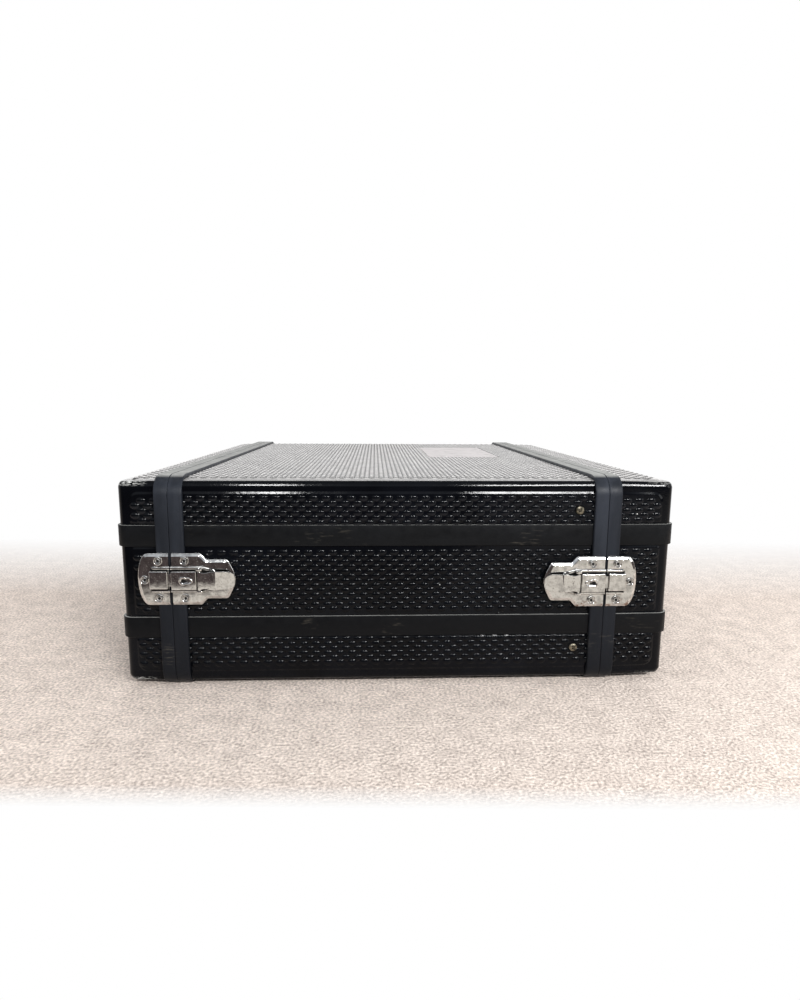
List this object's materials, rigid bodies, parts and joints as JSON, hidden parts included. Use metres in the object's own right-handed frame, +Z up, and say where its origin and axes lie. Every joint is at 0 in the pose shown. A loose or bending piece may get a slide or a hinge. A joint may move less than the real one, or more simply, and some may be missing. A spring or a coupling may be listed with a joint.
{
  "type": "rack case",
  "caption": "Black moulded equipment case with pull-off end lids, banded joints, tongue-and-groove closure rings, draw latches with key locks, rack rails and a folding handle.",
  "frame": {"origin": "centre of the box around the case, on the surface that it rests on", "axes": "+X towards the front, where the rack rails are; +Y towards the side with the handle; +Z up"},
  "size_m": [0.5344, 0.5556, 0.2073],
  "materials": {
    "abs_shell": "glossy vacuum-formed sheet with raised studs, scuffed at the corners",
    "pvc_profile": "matt extruded profile, dusty",
    "chromed_steel": "worn chrome plate on pressed steel, light rust",
    "zinc_screw": "yellow zinc plate",
    "rail_steel": "zinc-plated steel",
    "label_aluminium": "satin, bare",
    "handle_plastic": "satin moulded"
  },
  "bodies": {
    "case_body": {"case_band_lower_far": "pvc_profile", "case_band_lower_near": "pvc_profile", "case_band_upper_far": "pvc_profile", "case_band_upper_near": "pvc_profile", "case_bottom_shell": "abs_shell", "case_ring_front": "pvc_profile", "case_ring_rear": "pvc_profile", "case_side_panel_far": "abs_shell", "case_side_panel_near": "abs_shell", "case_top_shell": "abs_shell", "handle_bracket_front": "chromed_steel", "handle_bracket_rear": "chromed_steel", "label_plate": "label_aluminium", "latch_front_far_base_plate": "chromed_steel", "latch_front_far_lock_housing": "chromed_steel", "latch_front_near_base_plate": "chromed_steel", "latch_front_near_lock_housing": "chromed_steel", "latch_rear_far_base_plate": "chromed_steel", "latch_rear_far_lock_housing": "chromed_steel", "latch_rear_near_base_plate": "chromed_steel", "latch_rear_near_lock_housing": "chromed_steel", "rack_rail_far": "rail_steel", "rack_rail_near": "rail_steel", "rail_screw_far_lower": "zinc_screw", "rail_screw_far_upper": "zinc_screw", "rail_screw_near_lower": "zinc_screw", "rail_screw_near_upper": "zinc_screw"},
    "rear_lid": {"latch_rear_far_catch_plate": "chromed_steel", "latch_rear_near_catch_plate": "chromed_steel", "rear_lid_band_lower": "pvc_profile", "rear_lid_band_upper": "pvc_profile", "rear_lid_bottom_shell": "abs_shell", "rear_lid_middle_wall": "abs_shell", "rear_lid_ring": "pvc_profile", "rear_lid_top_shell": "abs_shell"},
    "front_lid": {"front_lid_band_lower": "pvc_profile", "front_lid_band_upper": "pvc_profile", "front_lid_bottom_shell": "abs_shell", "front_lid_middle_wall": "abs_shell", "front_lid_ring": "pvc_profile", "front_lid_top_shell": "abs_shell", "latch_front_far_catch_plate": "chromed_steel", "latch_front_near_catch_plate": "chromed_steel"},
    "latch_rear_near_lever": {"latch_rear_near_lever": "chromed_steel"},
    "latch_rear_near_hook": {"latch_rear_near_hook": "chromed_steel"},
    "latch_rear_near_lock_plug": {"latch_rear_near_lock_plug": "chromed_steel"},
    "latch_rear_far_lever": {"latch_rear_far_lever": "chromed_steel"},
    "latch_rear_far_hook": {"latch_rear_far_hook": "chromed_steel"},
    "latch_rear_far_lock_plug": {"latch_rear_far_lock_plug": "chromed_steel"},
    "latch_front_near_lever": {"latch_front_near_lever": "chromed_steel"},
    "latch_front_near_hook": {"latch_front_near_hook": "chromed_steel"},
    "latch_front_near_lock_plug": {"latch_front_near_lock_plug": "chromed_steel"},
    "latch_front_far_lever": {"latch_front_far_lever": "chromed_steel"},
    "latch_front_far_hook": {"latch_front_far_hook": "chromed_steel"},
    "latch_front_far_lock_plug": {"latch_front_far_lock_plug": "chromed_steel"},
    "handle": {"handle_bail": "handle_plastic"}
  },
  "joints": [
    {"name": "rear_lid_slide", "type": "slide", "parent": "case_body", "child": "rear_lid", "axis": [-1, 0, 0], "range_m": [0, 0.12]},
    {"name": "front_lid_slide", "type": "slide", "parent": "case_body", "child": "front_lid", "axis": [1, 0, 0], "range_m": [0, 0.12]},
    {"name": "latch_rear_near_lever_pivot", "type": "hinge", "parent": "case_body", "child": "latch_rear_near_lever", "pos_m": [-0.1881, -0.276, 0.10953], "axis": [0, 0, -1], "range_deg": [0, 80]},
    {"name": "latch_rear_near_hook_slide", "type": "slide", "parent": "case_body", "child": "latch_rear_near_hook", "axis": [-1, 0, 0], "range_m": [0, 0.004]},
    {"name": "latch_rear_near_plug_turn", "type": "hinge", "parent": "case_body", "child": "latch_rear_near_lock_plug", "pos_m": [-0.2027, -0.277, 0.10953], "axis": [0, -1, 0], "range_deg": [0, 90]},
    {"name": "latch_rear_far_lever_pivot", "type": "hinge", "parent": "case_body", "child": "latch_rear_far_lever", "pos_m": [-0.1881, 0.276, 0.10953], "axis": [0, 0, 1], "range_deg": [0, 80]},
    {"name": "latch_rear_far_hook_slide", "type": "slide", "parent": "case_body", "child": "latch_rear_far_hook", "axis": [-1, 0, 0], "range_m": [0, 0.004]},
    {"name": "latch_rear_far_plug_turn", "type": "hinge", "parent": "case_body", "child": "latch_rear_far_lock_plug", "pos_m": [-0.2027, 0.277, 0.10953], "axis": [0, 1, 0], "range_deg": [0, 90]},
    {"name": "latch_front_near_lever_pivot", "type": "hinge", "parent": "case_body", "child": "latch_front_near_lever", "pos_m": [0.1708, -0.276, 0.10488], "axis": [0, 0, 1], "range_deg": [0, 80]},
    {"name": "latch_front_near_hook_slide", "type": "slide", "parent": "case_body", "child": "latch_front_near_hook", "axis": [1, 0, 0], "range_m": [0, 0.004]},
    {"name": "latch_front_near_plug_turn", "type": "hinge", "parent": "case_body", "child": "latch_front_near_lock_plug", "pos_m": [0.1854, -0.277, 0.10488], "axis": [0, -1, 0], "range_deg": [0, 90]},
    {"name": "latch_front_far_lever_pivot", "type": "hinge", "parent": "case_body", "child": "latch_front_far_lever", "pos_m": [0.1708, 0.276, 0.10488], "axis": [0, 0, -1], "range_deg": [0, 80]},
    {"name": "latch_front_far_hook_slide", "type": "slide", "parent": "case_body", "child": "latch_front_far_hook", "axis": [1, 0, 0], "range_m": [0, 0.004]},
    {"name": "latch_front_far_plug_turn", "type": "hinge", "parent": "case_body", "child": "latch_front_far_lock_plug", "pos_m": [0.1854, 0.277, 0.10488], "axis": [0, 1, 0], "range_deg": [0, 90]},
    {"name": "handle_pivot", "type": "hinge", "parent": "case_body", "child": "handle", "pos_m": [-0.00865, 0.2719, 0.1244], "axis": [1, 0, 0], "range_deg": [0, 90]}
  ],
  "couplings": [
    {"joint": "latch_rear_near_hook_slide", "follows": "latch_rear_near_lever_pivot", "m_per_rad": 0.00286},
    {"joint": "latch_rear_far_hook_slide", "follows": "latch_rear_far_lever_pivot", "m_per_rad": 0.00286},
    {"joint": "latch_front_near_hook_slide", "follows": "latch_front_near_lever_pivot", "m_per_rad": 0.00286},
    {"joint": "latch_front_far_hook_slide", "follows": "latch_front_far_lever_pivot", "m_per_rad": 0.00286}
  ]
}
